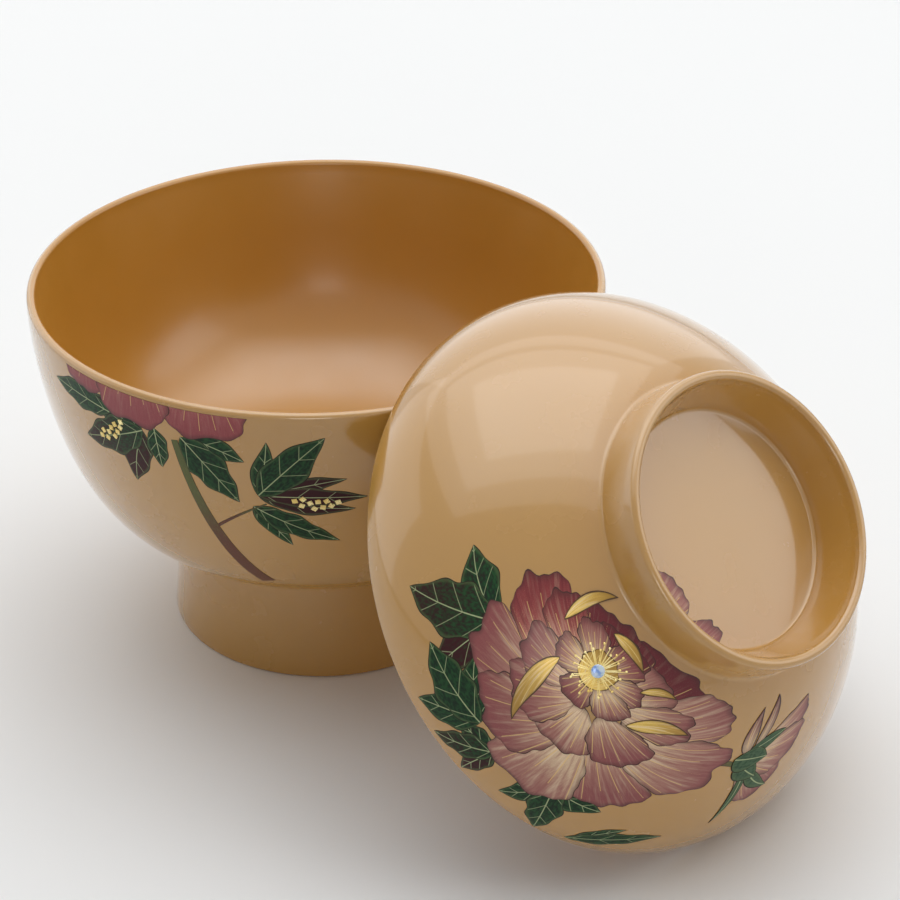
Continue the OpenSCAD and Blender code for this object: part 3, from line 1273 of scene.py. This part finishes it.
@dataclass
class BowlPainting:
    """The petals at the bowl's rim, with leaves and the stem that runs down to the foot."""

    palette: Palette
    wall: Wall
    angle: float = -76.0
    share: float = 0.7

    def build(self) -> None:
        """Paints the bowl."""
        p = self.palette
        stems = [
            Blade(Form.STEM, 17.8, -34.0, -20, 42.0, 2.7, 0.06, 9, 0.5),
            Blade(Form.STEM, 12.8, -14.5, 50, 14.0, 0.6, 0.05, 12, 0.5),
        ]
        spot = Spot(self.wall, self.angle, self.wall.up(self.share))
        for name, strokes, material in (
            ("bowl_petals", self.rim_petals(), p.plum),
            ("bowl_leaves", self.hanging_leaves(), p.leaf),
            ("bowl_stems", stems, p.stem),
        ):
            Painting(name, spot, strokes).build(material)

    def rim_petals(self) -> list[Blade]:
        """The petals that hang from the rim.

        Returns:
            The petals.
        """
        return petals(
            (-16.0, 24.0, 184, 13.5, 17.0, 0.05, 0.75, 0.03, 0.08),
            (-3.0, 27.0, 182, 20.0, 24.0, 0.08, 0.6, 0.035, 0.1),
            (12.5, 26.0, 176, 18.5, 24.0, 0.06, 0.4, 0.035, 0.1),
        )

    def hanging_leaves(self) -> list[Blade]:
        """The leaves under the petals, and those at the end of the side stem.

        Returns:
            The leaves.
        """
        return spray(-1.0, 6.6, -118, 19.5, 0.62, 0.02, 36) + leaves(
            (-9.5, 8.0, -84, 19.0, 6.4, 0.03, -8, 0.1, 3),
            (2.0, 8.0, 176, 9.5, 5.2, 0.03, 0, 0.05, 2),
            (8.0, 7.5, 138, 18.0, 8.6, 0.04, 10, 0.08, 3),
            (9.0, 8.0, 102, 13.0, 6.0, 0.03, 14, 0.15, 2),
            (23.0, -4.6, 20, 14.0, 4.8, 0.03, -14, 0.2, 1),
            (23.0, -4.6, 42, 21.0, 8.0, 0.04, 6, 0.05, 2),
            (23.0, -4.6, 70, 19.0, 4.4, 0.02, 12, 0.95, 2),
            (23.0, -4.6, 108, 19.5, 4.8, 0.02, -16, 0.8, 2),
            (23.0, -4.6, 89, 22.0, 5.2, 0.025, 4, 0.9, 3),
            (21.5, -7.6, 146, 12.5, 4.6, 0.03, 10, 0.3, 1),
            (21.5, -7.6, 125, 18.5, 6.2, 0.04, -8, 0.15, 3),
        )


@dataclass
class Forms:
    """The turned coats of bowl and lid, and the CAD pieces that stay."""

    palette: Palette

    def build(self) -> None:
        """Spins every coat and dresses the CAD pieces."""
        p = self.palette
        finish = {
            Slot.WOOD: p.wood, Slot.OUTER: p.outer, Slot.INNER: p.inner, Slot.GOLD: p.gold, Slot.SHELL: p.shell,
        }
        for coat in (
            Coat("bowl_outside", "bowl_outer_coat", Body.BOWL, Slot.OUTER, film(bowl_outside(), 1, -1), True),
            Coat("bowl_inside", "bowl_inner_coat", Body.BOWL, Slot.INNER, film(bowl_inside(), -1, -1)),
            Coat("bowl_hollow", "bowl_foot_coat", Body.BOWL, Slot.OUTER, film(bowl_hollow(), 1, 1, False)),
            Coat("lid_outside", "lid_outer_coat", Body.LID, Slot.OUTER, film(lid_outside(), 1, -1)),
            Coat("lid_inside", "lid_inner_coat", Body.LID, Slot.INNER, film(lid_inside(), 1, 1, False)),
        ):
            coat.build(finish[coat.slot])
        for node, slot in (
            ("bowl_core", Slot.WOOD),
            ("lid_core", Slot.WOOD),
            ("bowl_gold_chips", Slot.GOLD),
            ("lid_shell_dot", Slot.SHELL),
        ):
            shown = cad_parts[node]
            shown.data.materials.clear()
            shown.data.materials.append(finish[slot])
            log.info("%s: dressed", node)


@dataclass(frozen=True)
class Lamp:
    """A soft rectangular light."""

    name: str
    place: Triple
    size: Point
    power: float
    aim: Triple = (0.0, 0.0, 0.03)
    colour: Triple = (1.0, 1.0, 1.0)

    def build(self) -> None:
        """Adds the light."""
        data = bpy.data.lights.new(self.name, "AREA")
        data.shape, data.size, data.size_y = "RECTANGLE", *self.size
        data.energy, data.color = self.power, self.colour
        made = bpy.data.objects.new(self.name, data)
        made.location = self.place
        made.rotation_euler = (Vector(self.aim) - Vector(self.place)).to_track_quat("-Z", "Y").to_euler()
        bpy.context.scene.collection.objects.link(made)


@dataclass
class Studio:
    """Camera, pale floor, room light and soft lights."""

    camera_place: Triple = (0.31179, -0.31253, 0.31240)
    camera_way: Triple = (-0.60692, 0.61310, -0.50572)
    lens: float = 96.0
    film_width: float = 36.0
    floor_half: float = 3.0
    room_colour: tuple[float, float, float, float] = (0.98, 0.99, 1.0, 1.0)
    room_light: float = 0.12
    room_shown: float = 0.9
    lamps: tuple[Lamp, ...] = (
        Lamp("ceiling_wide", (-0.2, 0.2, 1.5), (2.7, 2.3), 14.8),
        Lamp("ceiling_middle", (-0.2, 0.2, 1.49), (1.9, 1.6), 8.0),
        Lamp("ceiling_heart", (-0.2, 0.2, 1.48), (1.2, 1.0), 3.4),
        Lamp("window", (-1.0, 1.0, 0.75), (2.0, 1.2), 4.5),
        Lamp("side_window", (0.97, 0.87, 0.73), (1.2, 1.0), 5.0),
        Lamp("left_wall", (-1.1, -0.5, 0.5), (1.4, 1.0), 3.2),
        Lamp("lamp", (0.76, -0.82, 0.27), (0.3, 0.4), 1.2, (-0.04, 0.0, 0.05), (1.0, 0.97, 0.93)),
    )

    def build(self) -> None:
        """Sets up the studio."""
        bpy.context.scene.view_settings.view_transform = "Standard"
        self.camera()
        self.room()
        self.table()
        for lamp in self.lamps:
            lamp.build()

    def camera(self) -> None:
        """Adds the camera."""
        data = bpy.data.cameras.new("camera")
        data.lens, data.sensor_width = self.lens, self.film_width
        data.clip_start, data.clip_end = 0.01, 20.0
        made = bpy.data.objects.new("camera", data)
        made.location = self.camera_place
        made.rotation_euler = Vector(self.camera_way).to_track_quat("-Z", "Y").to_euler()
        bpy.context.scene.collection.objects.link(made)
        bpy.context.scene.camera = made

    def room(self) -> None:
        """Adds the room's even light, which is pale where it is seen or mirrored."""
        world = bpy.data.worlds.new("room")
        world.use_nodes = True
        tree = world.node_tree
        shown = tree.nodes["Background"]
        shown.inputs["Color"].default_value = self.room_colour
        path = tree.nodes.new("ShaderNodeLightPath")
        level = path.outputs["Is Camera Ray"]
        for name in ("Is Glossy Ray", "Is Transmission Ray"):
            either = tree.nodes.new("ShaderNodeMath")
            either.operation = "MAXIMUM"
            tree.links.new(level, either.inputs[0])
            tree.links.new(path.outputs[name], either.inputs[1])
            level = either.outputs[0]
        strength = tree.nodes.new("ShaderNodeMapRange")
        tree.links.new(level, strength.inputs["Value"])
        strength.inputs["To Min"].default_value = self.room_light
        strength.inputs["To Max"].default_value = self.room_shown
        tree.links.new(strength.outputs["Result"], shown.inputs["Strength"])
        bpy.context.scene.world = world

    def table(self) -> None:
        """Lays the floor."""
        bm = bmesh.new()
        bmesh.ops.create_grid(bm, x_segments=1, y_segments=1, size=self.floor_half)
        mesh = bpy.data.meshes.new("floor")
        bm.to_mesh(mesh)
        bm.free()
        mesh.materials.append(Floor().build())
        floor = bpy.data.objects.new("floor", mesh)
        bpy.context.scene.collection.objects.link(floor)


def main() -> None:
    """Builds the pair, its painting and its studio."""
    logging.basicConfig(level=logging.INFO, format="%(name)s: %(message)s")
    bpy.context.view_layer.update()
    palette = Palette()
    Forms(palette).build()
    lid = Wall(lid_wall(), Body.LID, (0.3, 0.2))
    floor = lid_ring_floor()
    LidPainting(palette, lid, Wall(floor, Body.LID, (0.1, floor[2][0]))).build()
    BowlPainting(palette, Wall(bowl_wall(), Body.BOWL, (0.5, 0.3))).build()
    Studio().build()


if __name__ == "__main__":
    main()
